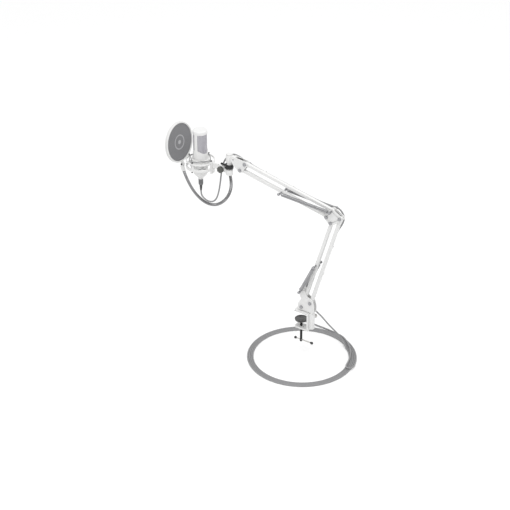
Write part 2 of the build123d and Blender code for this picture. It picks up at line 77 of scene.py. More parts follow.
softbox = bpy.data.lights.new("softbox", "AREA")
softbox.shape = "RECTANGLE"
softbox.size = 1.6
softbox.size_y = 1.6
softbox.energy = 20
lamp = bpy.data.objects.new("softbox", softbox)
lamp.location = (0.55, -0.75, 2.3)
lamp.rotation_euler = (Vector((-0.1, 0.0, 0.0)) - lamp.location).to_track_quat("-Z", "Y").to_euler()
bpy.context.scene.collection.objects.link(lamp)

floor_z = -0.166
floor_paint = bpy.data.materials.new("floor paint")
floor_paint.use_nodes = True
shader = floor_paint.node_tree.nodes["Principled BSDF"]
shader.inputs["Base Color"].default_value = (0.9, 0.9, 0.9, 1)
shader.inputs["Roughness"].default_value = 0.9
shader.inputs["Specular IOR Level"].default_value = 0.1
sheet = bmesh.new()
bmesh.ops.create_grid(sheet, x_segments=1, y_segments=1, size=60)
bmesh.ops.translate(sheet, verts=sheet.verts, vec=(0, 0, floor_z))
floor_mesh = bpy.data.meshes.new("floor")
sheet.to_mesh(floor_mesh)
sheet.free()
floor_mesh.materials.append(floor_paint)
floor = bpy.data.objects.new("floor", floor_mesh)
bpy.context.scene.collection.objects.link(floor)


# --- Lead ---------------------------------------------------------------------------------
# A round grey PVC microphone lead 5 mm across and 5.75 m long. It hangs in a loop under the
# microphone, is clipped along both arms with slack at the joints, and its length lies coiled flat on the
# floor, ending in a small stereo jack plug.
def grain_group():
    """Fine mottling of a surface: a value about one half that wanders over it."""
    group = bpy.data.node_groups.new("grain", "ShaderNodeTree")
    group.interface.new_socket("Vector", in_out="INPUT", socket_type="NodeSocketVector")
    group.interface.new_socket("Scale", in_out="INPUT", socket_type="NodeSocketFloat")
    group.interface.new_socket("Value", in_out="OUTPUT", socket_type="NodeSocketFloat")
    enter = group.nodes.new("NodeGroupInput")
    leave = group.nodes.new("NodeGroupOutput")
    noise = group.nodes.new("ShaderNodeTexNoise")
    noise.inputs["Detail"].default_value = 3
    noise.inputs["Roughness"].default_value = 0.6
    group.links.new(enter.outputs["Vector"], noise.inputs["Vector"])
    group.links.new(enter.outputs["Scale"], noise.inputs["Scale"])
    group.links.new(noise.outputs["Fac"], leave.inputs["Value"])
    return group


grain = grain_group()


def coating(name, colour, roughness, metallic=0.0, coat=0.0, scale=700.0, swing=0.06, relief=0.03, tint=0.03):
    """A finish whose colour, gloss and height wander finely; scale is in grains per metre."""
    made = bpy.data.materials.new(name)
    made.use_nodes = True
    tree = made.node_tree
    shader = tree.nodes["Principled BSDF"]
    shader.inputs["Metallic"].default_value = metallic
    shader.inputs["Coat Weight"].default_value = coat
    place = tree.nodes.new("ShaderNodeTexCoord")
    speck = tree.nodes.new("ShaderNodeGroup")
    speck.node_tree = grain
    speck.inputs["Scale"].default_value = scale
    tree.links.new(place.outputs["Object"], speck.inputs["Vector"])
    gloss = tree.nodes.new("ShaderNodeMapRange")
    gloss.inputs["From Min"].default_value = 0.3
    gloss.inputs["From Max"].default_value = 0.7
    gloss.inputs["To Min"].default_value = max(roughness - swing, 0.02)
    gloss.inputs["To Max"].default_value = roughness + swing
    tree.links.new(speck.outputs["Value"], gloss.inputs["Value"])
    tree.links.new(gloss.outputs["Result"], shader.inputs["Roughness"])
    shade = tree.nodes.new("ShaderNodeMix")
    shade.data_type = "RGBA"
    shade.inputs["A"].default_value = (*[c * (1 - tint) for c in colour], 1)
    shade.inputs["B"].default_value = (*[min(c * (1 + tint), 1) for c in colour], 1)
    tree.links.new(speck.outputs["Value"], shade.inputs["Factor"])
    tree.links.new(shade.outputs["Result"], shader.inputs["Base Color"])
    bump = tree.nodes.new("ShaderNodeBump")
    bump.inputs["Strength"].default_value = relief
    bump.inputs["Distance"].default_value = 0.0005
    tree.links.new(speck.outputs["Value"], bump.inputs["Height"])
    tree.links.new(bump.outputs["Normal"], shader.inputs["Normal"])
    return made


def spline_line(points, fineness=8):
    """The smooth line that a route's control points pull, read from its NURBS spline."""
    data = bpy.data.curves.new("route", "CURVE")
    data.dimensions = "3D"
    spline = data.splines.new("NURBS")
    spline.points.add(len(points) - 1)
    for place, point in zip(spline.points, points):
        place.co = (*point, 1)
    spline.order_u = 3
    spline.use_endpoint_u = True
    spline.resolution_u = fineness
    holder = bpy.data.objects.new("route", data)
    mesh = bpy.data.meshes.new_from_object(holder)
    line = [v.co.copy() for v in mesh.vertices]
    bpy.data.meshes.remove(mesh)
    bpy.data.objects.remove(holder)
    bpy.data.curves.remove(data)
    return line


def lay_tube(bm, line, radius, sides=12, first=0, last=None):
    """Extrude a round section along a line's points; radius is a number or a list, one for each point."""
    last = len(line) - 1 if last is None else last
    size = radius if isinstance(radius, list) else [radius] * len(line)
    ways = [(line[min(i + 1, len(line) - 1)] - line[max(i - 1, 0)]).normalized() for i in range(len(line))]
    ring = bmesh.ops.create_circle(bm, cap_ends=True, segments=sides, radius=size[first])["verts"]
    turn = ways[first].to_track_quat("Z", "Y").to_matrix().to_4x4()
    bmesh.ops.transform(bm, matrix=Matrix.Translation(line[first]) @ turn, verts=ring)
    edges = list({e for v in ring for e in v.link_edges})
    for i in range(first, last):
        made = bmesh.ops.extrude_edge_only(bm, edges=edges)["geom"]
        ring = [g for g in made if isinstance(g, bmesh.types.BMVert)]
        edges = [g for g in made if isinstance(g, bmesh.types.BMEdge) and all(v in ring for v in g.verts)]
        turn = ways[i].rotation_difference(ways[i + 1]).to_matrix()
        grow = size[i + 1] / size[i]
        for v in ring:
            v.co = line[i + 1] + turn @ (v.co - line[i]) * grow
    bmesh.ops.holes_fill(bm, edges=edges, sides=0)


def piece_of(bm, name, finish, body=None, sharp=35):
    """Make a bmesh into a named piece with its finish, riding on its body if one is given."""
    bmesh.ops.remove_doubles(bm, verts=bm.verts, dist=1e-7)
    bmesh.ops.recalc_face_normals(bm, faces=bm.faces)
    mesh = bpy.data.meshes.new(name)
    bm.to_mesh(mesh)
    bm.free()
    mesh.shade_smooth()
    mesh.set_sharp_from_angle(angle=math.radians(sharp))
    mesh.materials.append(finish)
    piece = bpy.data.objects.new(name, mesh)
    bpy.context.scene.collection.objects.link(piece)
    if body:
        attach(piece, body)
    return piece


cord = 0.005
jacket = coating("grey PVC jacket", (0.25, 0.25, 0.255), 0.5, coat=0.06, scale=900, swing=0.08, relief=0.06,
                 tint=0.05)


def lead_piece(name, line, body=None, first=0, last=None):
    """One stretch of the lead along part of a line."""
    bm = bmesh.new()
    lay_tube(bm, line, cord / 2, first=first, last=last)
    return piece_of(bm, name, jacket, body, sharp=50)


def lead_in(route, length):
    """The point that far before a route's start, in line with its first run."""
    way = (Vector(route[0]) - Vector(route[1])).normalized()
    return tuple(Vector(route[0]) + way * length)


upper_route = [
    (-0.186, 0.0106, 0.4416), (-0.164, 0.0087, 0.4378), (-0.125, 0.0082, 0.430), (-0.070, 0.00835, 0.4182),
    (-0.020, 0.0082, 0.4082), (0.028, 0.00835, 0.398), (0.057, 0.0090, 0.3934), (0.076, 0.0099, 0.3909),
]
lower_route = [
    (0.1146, 0.00895, 0.3045), (0.1068, 0.0083, 0.279), (0.092, 0.0082, 0.231), (0.0757, 0.00835, 0.176),
    (0.0615, 0.0083, 0.1295), (0.0522, 0.0106, 0.0995), (0.0443, 0.0113, 0.0735),
]
loop_route = [
    (-0.3819, 0, 0.308), (-0.3819, 0, 0.297), (-0.3765, -0.001, 0.2875), (-0.3635, -0.0022, 0.2805),
    (-0.346, -0.003, 0.2783), (-0.330, -0.0027, 0.2845), (-0.3185, -0.002, 0.300), (-0.3125, 0, 0.324),
    (-0.310, 0.0045, 0.353), (-0.3105, 0.0105, 0.382), (-0.308, 0.0135, 0.408), (-0.2985, 0.0138, 0.431),
    (-0.2835, 0.0138, 0.449), (-0.265, 0.0138, 0.4595), (-0.2455, 0.014, 0.4575), (-0.228, 0.0156, 0.4498),
    (-0.207, 0.0169, 0.4452), lead_in(upper_route, 0.010), upper_route[0],
]
elbow_route = [
    upper_route[-1], lead_in(upper_route[::-1], 0.015), (0.106, 0.0128, 0.390), (0.119, 0.0149, 0.3847),
    (0.129, 0.0161, 0.374), (0.1345, 0.0162, 0.360), (0.132, 0.0156, 0.346), (0.1273, 0.0124, 0.333),
    lead_in(lower_route, 0.014), lower_route[0],
]

upper_lead = lead_piece("lead_on_upper_arm", spline_line(upper_route), "top_bar")
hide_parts("cable_upper_run")
lower_lead = lead_piece("lead_on_lower_arm", spline_line(lower_route), "rear_bar")
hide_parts("cable_lower_run")


def nearest(line, point):
    """The index of the line's point nearest to a place."""
    return min(range(len(line)), key=lambda i: (line[i] - Vector(point)).length)


loop_line = spline_line(loop_route)
beside_post = nearest(loop_line, (-0.3105, 0.0105, 0.382))
over_head = nearest(loop_line, (-0.256, 0.0139, 0.4595))
hanging = lead_piece("lead_hanging_loop", loop_line, last=beside_post)
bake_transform(hanging)
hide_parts("cable_mic_loop")
rising = lead_piece("lead_over_post", loop_line, first=beside_post, last=over_head)
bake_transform(rising)
crossing = lead_piece("lead_over_head", loop_line, first=over_head)
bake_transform(crossing)

elbow_line = spline_line(elbow_route)
slack_top = nearest(elbow_line, (0.1335, 0.0162, 0.360))
outer_bend = lead_piece("lead_round_elbow", elbow_line, last=slack_top)
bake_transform(outer_bend)
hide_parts("cable_elbow_bend")
inner_bend = lead_piece("lead_under_elbow", elbow_line, first=slack_top)
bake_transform(inner_bend)

clip_top = (0.032, 0.0163, 0.039)
clip_foot = (0.032, 0.0163, 0.0285)
foot_route = [lower_route[-1], lead_in(lower_route[::-1], 0.012), (0.0358, 0.0149, 0.050), clip_top, clip_foot]
foot_line = spline_line(foot_route)
foot = lead_piece("lead_at_base", foot_line)
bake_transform(foot)

coil_middle = (0.005, -0.004)
turn_points = 24
coil_points = 98
coil_start = 43
inner_turn = 0.1507
turn_pitch = 0.0051
drawn_in = 0.75 + 0.25 * math.cos(2 * math.pi / turn_points)


def at_coil(degrees, radius, height):
    """A place on the coil: degrees anticlockwise from +X about its middle, radius, height above the floor."""
    angle = math.radians(degrees)
    x, y = coil_middle
    return (x + radius * math.cos(angle), y + radius * math.sin(angle), floor_z + height)


lying = cord / 2
turns = []
for i in range(coil_points):
    radius = (inner_turn + turn_pitch * i / turn_points) / drawn_in
    turns.append(at_coil(coil_start - 360 / turn_points * i, radius, lying))
on_top = lying + cord
way_back = [
    at_coil(16, 0.1724, lying + 0.002), at_coil(11, 0.1722, on_top - 0.001), at_coil(7.5, 0.167, on_top),
    at_coil(6.5, 0.161, on_top), at_coil(7.5, 0.155, on_top), at_coil(11, 0.1502, on_top),
    at_coil(17, 0.1503, on_top), at_coil(28, 0.1527, on_top), at_coil(40, 0.1562, on_top),
    at_coil(51, 0.1603, on_top), at_coil(61, 0.165, on_top), at_coil(70, 0.1702, on_top),
    at_coil(77, 0.1752, on_top - 0.0035), at_coil(82, 0.1767, lying),
]
free_route = [
    clip_foot, (0.032, 0.0163, 0.019), (0.0355, 0.019, 0.008), (0.0425, 0.027, -0.0065),
    (0.0475, 0.040, -0.023), (0.0495, 0.060, -0.049), (0.0505, 0.086, -0.081), (0.0535, 0.109, -0.108),
    (0.0595, 0.1255, -0.131), (0.070, 0.1295, -0.1465), (0.0845, 0.1235, -0.158), (0.100, 0.112, -0.1635),
    *turns, *way_back,
    (0.012, 0.1740, -0.1635), (-0.016, 0.1757, -0.1635), (-0.044, 0.1763, -0.1635), (-0.068, 0.177, -0.1635),
    (-0.082, 0.1775, -0.1635),
]
free_line = spline_line(free_route, fineness=5)
free_lead = lead_piece("lead_drop_and_coil", free_line)
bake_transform(free_lead)
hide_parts("cable_drop", "cable_coil", "cable_tail")


# --- Jack plug ----------------------------------------------------------------------------
# A moulded 3.5 mm stereo plug on the lead's free end: a soft ribbed strain relief, a grey barrel with a
# grip band, and a nickel-plated tip and rings with black insulating bands between them.
def turned(bm, profile, foot_point, way, steps=48):
    """Spin a lathe profile of (radius, height) pairs about way, its heights counted from foot_point."""
    before = set(bm.verts)
    verts = [bm.verts.new((radius, 0, height)) for radius, height in profile]
    edges = [bm.edges.new(pair) for pair in zip(verts, verts[1:])]
    bmesh.ops.spin(bm, geom=verts + edges, cent=(0, 0, 0), axis=(0, 0, 1), angle=2 * math.pi, steps=steps,
                   use_merge=True)
    made = [v for v in bm.verts if v not in before]
    bmesh.ops.remove_doubles(bm, verts=made, dist=1e-7)
    made = [v for v in bm.verts if v not in before]
    turn = Vector(way).to_track_quat("Z", "Y").to_matrix().to_4x4()
    bmesh.ops.transform(bm, matrix=Matrix.Translation(foot_point) @ turn, verts=made)


def ribbed(radius0, radius1, height0, height1, ribs, depth):
    """Profile points of a tapering sleeve with round grooves."""
    points = []
    for i in range(ribs):
        for share, dip in ((0.0, 0), (0.55, 0), (0.62, 1), (0.93, 1)):
            t = (i + share) / ribs
            radius = radius0 + (radius1 - radius0) * t - dip * depth
            points.append((radius, height0 + (height1 - height0) * t))
    return points


nickel = coating("nickel plate", (0.62, 0.61, 0.59), 0.24, metallic=1, scale=500, swing=0.08, relief=0.01)
plug_plastic = coating("plug moulding", (0.16, 0.16, 0.165), 0.42, scale=1500, swing=0.06, relief=0.05)
black_plastic = coating("black moulding", (0.018, 0.018, 0.018), 0.45, scale=1500, swing=0.07, relief=0.05)

tail_way = (Vector(free_route[-1]) - Vector(free_route[-2])).normalized()
plug_foot = Vector((free_route[-1][0], free_route[-1][1], floor_z + 0.0036))
barrel = bmesh.new()
turned(barrel, [(0, -0.0002), *ribbed(0.0027, 0.0033, -0.0002, 0.007, 5, 0.0004), (0.0034, 0.0072),
                (0.0036, 0.0085), (0.0036, 0.0125), (0.00335, 0.013), (0.00335, 0.0175), (0.0036, 0.018),
                (0.0036, 0.0225), (0.0033, 0.0238), (0.0026, 0.024), (0, 0.024)], plug_foot, tail_way)
jack_barrel = piece_of(barrel, "jack_barrel", plug_plastic, "clamp")
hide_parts("jack_plug")
metal = bmesh.new()
turned(metal, [(0, 0.0239), (0.0024, 0.0239), (0.0024, 0.0246), (0.00175, 0.0246), (0.00175, 0.0284),
               (0.0017, 0.0285), (0, 0.0285)], plug_foot, tail_way, 32)
turned(metal, [(0, 0.0291), (0.0017, 0.0291), (0.00175, 0.0292), (0.00175, 0.0308), (0.0017, 0.0309),
               (0, 0.0309)], plug_foot, tail_way, 32)
turned(metal, [(0, 0.0315), (0.0017, 0.0315), (0.00175, 0.0317), (0.00175, 0.0338), (0.0012, 0.0346),
               (0.0012, 0.0351), (0.00165, 0.0361), (0.0013, 0.0372), (0.0005, 0.0379), (0, 0.038)],
       plug_foot, tail_way, 32)
jack_metal = piece_of(metal, "jack_tip", nickel, "clamp")
bands = bmesh.new()
turned(bands, [(0, 0.0284), (0.00168, 0.0284), (0.00168, 0.0292), (0, 0.0292)], plug_foot, tail_way, 32)
turned(bands, [(0, 0.0308), (0.00168, 0.0308), (0.00168, 0.0316), (0, 0.0316)], plug_foot, tail_way, 32)
jack_bands = piece_of(bands, "jack_bands", black_plastic, "clamp")


# --- Desk clamp ---------------------------------------------------------------------------
# A bent steel strip, powder coated white, with a rubber sheet under its upper jaw and a threaded boss in its
# lower one. A black screw presses a dished pad up and is turned by a sliding steel bar with two balls.
def set_down(bm, before, place, way):
    """Turn what was added to a mesh since then from +Z to way and stand it on place."""
    made = [v for v in bm.verts if v not in before]
    turn = Vector(way).to_track_quat("Z", "Y").to_matrix().to_4x4()
    bmesh.ops.transform(bm, matrix=Matrix.Translation(place) @ turn, verts=made)


def dress(node, finish, edge=0.0):
    """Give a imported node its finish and, if asked, small rounded edges."""
    shown = nodes[node]
    shown.data.materials.clear()
    shown.data.materials.append(finish)
    if edge:
        join = shown.modifiers.new("join", "WELD")
        join.merge_threshold = 1e-6
        rounding = shown.modifiers.new("rounding", "BEVEL")
        rounding.width = edge
        rounding.segments = 2
        rounding.limit_method = "ANGLE"
        rounding.angle_limit = math.radians(40)
        rounding.harden_normals = True


def ball(radius, height, steps=12):
    """Profile of a ball whose middle is at that height."""
    turns_of = [math.pi * i / steps for i in range(steps + 1)]
    return [(radius * math.sin(a) if 0 < i < steps else 0, height - radius * math.cos(a))
            for i, a in enumerate(turns_of)]


powder = coating("white powder coat", (0.70, 0.70, 0.695), 0.42, coat=0.1, scale=1500, swing=0.07, relief=0.16,
                 tint=0.012)
rubber = coating("black rubber", (0.022, 0.022, 0.022), 0.75, scale=900, swing=0.1, relief=0.12, tint=0.15)
gloss_black = coating("gloss black enamel", (0.07, 0.07, 0.07), 0.1, metallic=0.7, coat=0.6, scale=300,
                      swing=0.05, relief=0.01, tint=0.1)
black_steel = coating("blackened steel", (0.03, 0.03, 0.031), 0.36, metallic=0.6, scale=800, swing=0.1,
                      relief=0.05, tint=0.2)
dress("clamp_frame", powder, 0.0007)
dress("jaw_pad", rubber, 0.0003)

pad = bmesh.new()
grip_rings = [(r + dr, z) for r in (0.0155, 0.0125, 0.0095, 0.0065) for dr, z in
              ((0.0, -0.0282), (-0.0003, -0.0278), (-0.0011, -0.0278), (-0.0014, -0.0282))]
turned(pad, [(0, -0.0314), (0.0041, -0.0314), (0.0041, -0.038), (0.0076, -0.038), (0.008, -0.0376),
             (0.008, -0.0316), (0.0088, -0.031), (0.0202, -0.031), (0.0208, -0.0307), (0.021, -0.0301),
             (0.021, -0.0279), (0.0208, -0.0273), (0.0202, -0.027), (0.0182, -0.027), (0.0175, -0.0276),
             (0.0173, -0.0282), *grip_rings, (0, -0.0282)], (0, 0, 0), (0, 0, 1), 64)
pressure_pad = piece_of(pad, "pressure_pad", gloss_black, "pad")
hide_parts("screw_pad")

thread_pitch = 0.0015
thread_steps = 20
thread_turns = 43
spindle = bmesh.new()
turned(spindle, [(0, -0.111), (0.0032, -0.111), (0.004, -0.1103), (0.004, -0.0985), (0.0033, -0.0978),
                 (0.0033, -0.032), (0.0028, -0.0315), (0, -0.0315)], (0, 0, 0), (0, 0, 1), 32)
tooth = bmesh.ops.create_circle(spindle, segments=3, radius=0.00075)["verts"]
for corner, (radius, height) in zip(tooth, ((0.0032, -0.00065), (0.0039, 0), (0.0032, 0.00065))):
    corner.co = (radius, 0, -0.0975 + height)
tooth_edges = list({e for v in tooth for e in v.link_edges})
bmesh.ops.spin(spindle, geom=tooth + tooth_edges, cent=(0, 0, 0), axis=(0, 0, 1),
               dvec=(0, 0, thread_pitch / thread_steps), angle=2 * math.pi * thread_turns,
               steps=thread_steps * thread_turns)
bmesh.ops.holes_fill(spindle, edges=[e for e in spindle.edges if e.is_boundary], sides=0)
clamp_spindle = piece_of(spindle, "clamp_spindle", black_steel, "screw")
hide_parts("clamp_screw")

bar_height = -0.105
bar_rod = bmesh.new()
turned(bar_rod, [(0, -0.0205), (0.0016, -0.0205), (0.0022, -0.0198), (0.0022, 0.0388), (0.0016, 0.0395),
                 (0, 0.0395)], (0, 0, bar_height), (1, 0, 0), 24)
sliding_bar = piece_of(bar_rod, "sliding_bar", nickel, "tommy")
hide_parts("tommy_bar")
balls = bmesh.new()
for end, inward in ((-0.021, 1), (0.040, -1)):
    turned(balls, ball(0.0044, 0), (end, 0, bar_height), (inward, 0, 0), 32)
    turned(balls, [(0, 0.0036), (0.0031, 0.0036), (0.0031, 0.0048), (0.0027, 0.0051), (0, 0.0051)],
           (end, 0, bar_height), (inward, 0, 0), 24)
piece_of(balls, "bar_balls", black_plastic, "tommy")


def fluted(bm, before, count, depth, reach, sharpness=1.0):
    """Press rounded flutes into what was turned about Z since then, outside a reach from its axis."""
    for v in bm.verts:
        if v not in before and math.hypot(v.co.x, v.co.y) > reach:
            angle = math.atan2(v.co.y, v.co.x)
            dip = max(0.0, math.cos(count * angle)) ** sharpness
            shrink = 1 - depth * dip / math.hypot(v.co.x, v.co.y)
            v.co.x *= shrink
            v.co.y *= shrink


lock = bmesh.new()
turned(lock, [(0, 0.0062), (0.0024, 0.0062), (0.0029, 0.0067), (0.0029, 0.016), (0, 0.016)], (0, 0, 0),
       (0, 0, 1), 24)
plain = set(lock.verts)
turned(lock, [(0, 0.016), (0.0058, 0.016), (0.0065, 0.0167), (0.0065, 0.0233), (0.0058, 0.024),
              (0.0035, 0.024), (0.0032, 0.0236), (0, 0.0236)], (0, 0, 0), (0, 0, 1), 96)
fluted(lock, plain, 24, 0.00035, 0.005)
swivel_x = 0.0375
set_down(lock, set(), (swivel_x, 0, -0.016), (0, 1, 0))
lock_screw = piece_of(lock, "swivel_lock_screw", nickel, "lock")
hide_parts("lock_screw")


# --- Swivel base --------------------------------------------------------------------------
# A pressed steel fork, powder coated white, riveted to a turned post that drops into the clamp's socket. Two
# plated hexagon bolts carry the lower arm, two studs the springs, and a white saddle holds the lead.
def bolt_end(bm, place, way, flats, height, shank=0.0, stands=0.0):
    """A hexagon with chamfered corners and, on a nut, the end of the shank standing out of it."""
    before = set(bm.verts)
    verts = bmesh.ops.create_cone(bm, cap_ends=True, segments=6, radius1=flats / math.sqrt(3),
                                  radius2=flats / math.sqrt(3), depth=height)["verts"]
    rim = list({e for v in verts for e in v.link_edges if all(u.co.z > 0 for u in e.verts)})
    bmesh.ops.bevel(bm, geom=rim, affect="EDGES", offset=0.0006, segments=2, profile=0.5, material=-1)
    made = [v for v in bm.verts if v not in before]
    bmesh.ops.translate(bm, verts=made, vec=(0, 0, height / 2))
    set_down(bm, before, place, way)
    if shank:
        turned(bm, [(0, height - 0.001), (shank, height - 0.001), (shank, height + stands - 0.0003),
                    (shank - 0.0004, height + stands), (0, height + stands)], place, way, 24)
    else:
        turned(bm, [(0, height - 0.001), (0.0031, height - 0.001), (0.0031, height + 0.00005),
                    (0.0027, height - 0.0001), (0, height - 0.0003)], place, way, 24)


bolt_flats = 0.0099
bolt_radius = 0.0029
head_height = 0.004
plates_half = 0.0079


def through_bolts(bm, places):
    """Bolts across both side plates, heads on the near side, nuts on the far side."""
    for x, z in places:
        turned(bm, [(0, 0), (bolt_radius, 0), (bolt_radius, 2 * plates_half), (0, 2 * plates_half)],
               (x, -plates_half, z), (0, 1, 0), 24)
        bolt_end(bm, (x, -plates_half, z), (0, -1, 0), bolt_flats, head_height)
        bolt_end(bm, (x, plates_half, z), (0, 1, 0), bolt_flats, head_height, bolt_radius, 0.0004)


def spring_ends(bm, x, z, inner):
    """A pin on each side with a wide dished head that keeps a spring's eye on."""
    for side in (-1, 1):
        turned(bm, [(0, inner), (0.0025, inner), (0.0025, 0.0218), (0.0041, 0.022), (0.0045, 0.0224),
                    (0.0045, 0.0234), (0.0041, 0.0239), (0.0020, 0.024), (0, 0.0238)],
               (x, 0, z), (0, side, 0), 32)


zinc = coating("zinc plate", (0.36, 0.36, 0.375), 0.38, metallic=0.85, scale=700, swing=0.1, relief=0.03,
               tint=0.15)
dress("base_bracket", powder, 0.0005)

front_base, rear_base = (0.004, 0.019), (0.035, 0.0417)
base_bolts = bmesh.new()
through_bolts(base_bolts, (front_base, rear_base))
arm_bolts = piece_of(base_bolts, "base_bolts", zinc, "base")
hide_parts("base_pivots")

lower_stud = (0.0025, 0.0765)
studs = bmesh.new()
spring_ends(studs, *lower_stud, 0.0054)
stud_pair = piece_of(studs, "spring_studs_turned", zinc, "base")
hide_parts("spring_studs")

post = bmesh.new()
turned(post, [(0, -0.046), (0.0052, -0.046), (0.006, -0.0452), (0.006, -0.0212), (0.0056, -0.0206),
              (0.0056, -0.0114), (0.006, -0.0108), (0.006, 0.0068), (0.0088, 0.0068), (0.009, 0.007),
              (0.009, 0.0081), (0.0088, 0.0083), (0.004, 0.0083), (0.004, 0.0113), (0.0052, 0.0113),
              (0.0051, 0.0118), (0.0043, 0.0124), (0.002, 0.0126), (0, 0.0126)],
       (swivel_x, 0, 0), (0, 0, 1), 48)
swivel_post = piece_of(post, "turned_post", nickel, "base")
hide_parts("swivel_post")
clip_white = coating("white moulding", (0.69, 0.69, 0.685), 0.45, scale=2200, swing=0.05, relief=0.06,
                     tint=0.012)
dress("base_cable_clip", clip_white, 0.0003)


# --- Balance springs ----------------------------------------------------------------------
# Two pairs of close-wound extension springs in plated wire 1.5 mm thick. The lower pair runs from studs on
# the base to a pin through the front bar, the upper pair from the elbow's long bolt to one in the bottom bar.
wire = 0.00075
winding = 0.00472
close_pitch = 0.00172
winding_steps = 14
batch_turns = 4
eye_reach = 0.0034
hook_length = 0.0085


def wound_spring(bm, near, far, y):
    """One spring between two pins at that y: hook and eye, windings, hook and eye."""
    near, far = Vector((near[0], y, near[1])), Vector((far[0], y, far[1]))
    way = (far - near).normalized()
    across = Vector((0, 1, 0)).cross(way)
    place = Matrix((across, Vector((0, 1, 0)), way)).transposed().to_4x4()
    length = (far - near).length - 2 * hook_length
    batches = round(length / close_pitch / batch_turns)
    batch = length / batches
    before = set(bm.verts)
    section = bmesh.ops.create_circle(bm, segments=7, radius=wire)["verts"]
    bmesh.ops.rotate(bm, verts=section, cent=(0, 0, 0), matrix=Matrix.Rotation(math.pi / 2, 3, "X"))
    bmesh.ops.translate(bm, verts=section, vec=(winding, 0, hook_length))
    section_edges = list({e for v in section for e in v.link_edges})
    bmesh.ops.spin(bm, geom=section + section_edges, cent=(0, 0, 0), axis=(0, 0, 1),
                   dvec=(0, 0, batch / (batch_turns * winding_steps)), angle=2 * math.pi * batch_turns,
                   steps=batch_turns * winding_steps)
    wound = [v for v in bm.verts if v not in before]
    wound_faces = {f for v in wound for f in v.link_faces}
    wound_edges = {e for v in wound for e in v.link_edges}
    for i in range(1, batches):
        copied = bmesh.ops.duplicate(bm, geom=wound + list(wound_edges) + list(wound_faces))["geom"]
        copied_verts = [g for g in copied if isinstance(g, bmesh.types.BMVert)]
        bmesh.ops.translate(bm, verts=copied_verts, vec=(0, 0, i * batch))
    made = [v for v in bm.verts if v not in before]
    bmesh.ops.remove_doubles(bm, verts=made, dist=1e-5)
    made = [v for v in bm.verts if v not in before]
    bmesh.ops.transform(bm, matrix=Matrix.Translation(near) @ place, verts=made)
    bmesh.ops.holes_fill(bm, edges=[e for e in bm.edges if e.is_boundary], sides=0)
    eye = [(eye_reach * 1.06 * math.sin(math.radians(a)), 0, eye_reach * 1.06 * math.cos(math.radians(a)))
           for a in range(20, 345, 36)]
    hook = [(winding, 0, hook_length), (winding * 0.8, -winding * 0.5, hook_length - 0.001),
            (winding * 0.15, -0.001, hook_length - 0.0021), (0, 0, hook_length - 0.0033),
            (0, 0, hook_length - 0.0042), *eye]
    for origin, flip in ((near, 1), (far, -1)):
        route = [origin + place.to_3x3() @ Vector((x, flip * side, flip * up)) for x, side, up in hook]
        lay_tube(bm, spline_line(route, 5), wire, sides=7)


spring_wire = coating("spring wire", (0.42, 0.42, 0.43), 0.33, metallic=0.9, scale=900, swing=0.1, relief=0.03,
                      tint=0.12)
lower_pin = (0.05273, 0.18040)
upper_stud = (0.104, 0.3822)
upper_pin = (-0.07501, 0.39174)
for name, near, far, fixed, moving, turning in (
    ("lower_springs", lower_stud, lower_pin, "base", "front_bar", 0.65),
    ("upper_springs", upper_stud, upper_pin, "elbow", "bottom_bar", 0.3),
):
    wires = bmesh.new()
    for y in (-0.017, 0.017):
        wound_spring(wires, near, far, y)
    pair = piece_of(wires, name + "_wound", spring_wire, sharp=60)
    near, far = Vector((near[0], 0, near[1])), Vector((far[0], 0, far[1]))
    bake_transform(pair)
    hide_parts(name)


# --- Arm bars -----------------------------------------------------------------------------
# Four lengths of 10 mm square steel tube, ends closed and rounded, powder coated white. Each spring pin
# goes right through its bar, and white saddles stuck to the far faces hold the lead.
for node in ("lower_front_bar", "lower_rear_bar", "upper_bottom_bar", "upper_top_bar"):
    dress(node, powder)
for node in ("lower_cable_clips", "upper_cable_clips"):
    dress(node, clip_white, 0.0003)
for name, place, body in (
    ("lower_spring_pin", lower_pin, "front_bar"),
    ("upper_spring_pin", upper_pin, "bottom_bar"),
):
    pin = bmesh.new()
    spring_ends(pin, *place, 0)
    turned_pin = piece_of(pin, name + "_turned", zinc, body)
    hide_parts(name)


# --- Elbow --------------------------------------------------------------------------------
# Two blanked steel plates, powder coated white, joined by three plated bolts and one long bolt whose ends
# also carry the upper springs. Each bolt is the pivot of one bar.
dress("elbow_plates", powder, 0.0005)
elbow_bolts = bmesh.new()
through_bolts(elbow_bolts, ((0.10169, 0.34257), (0.13269, 0.36527), (0.0865, 0.358)))
spring_ends(elbow_bolts, *upper_stud, 0)
elbow_set = piece_of(elbow_bolts, "elbow_bolts", zinc, "elbow")
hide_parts("elbow_pivots")


# --- Head of the arm ----------------------------------------------------------------------
# Two short plates hold a vertical sleeve between them by a rivet, with a black spacer block behind it. The
# spacer's black is partly painted shade: it darkens the gap between the plates, where shade falls. A white post
# hangs in the sleeve from its cap and carries everything that belongs to the microphone.
dress("head_plates", powder, 0.0005)
dress("post_sleeve", powder, 0.0005)
# The black spacer is partly painted shade: it stands for the shade in the gap between the head plates.
dress("head_spacer", black_plastic, 0.0005)
head_bolts = bmesh.new()
through_bolts(head_bolts, ((-0.22674, 0.42344), (-0.20924, 0.44764)))
turned(head_bolts, [(0, -0.0089), (0.0014, -0.0089), (0.002, -0.0084), (0.002, 0.0084), (0.0014, 0.0089),
                    (0, 0.0089)], (-0.252, 0, 0.452), (0, 1, 0), 24)
head_set = piece_of(head_bolts, "head_bolts", zinc, "head")
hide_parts("head_pivots")

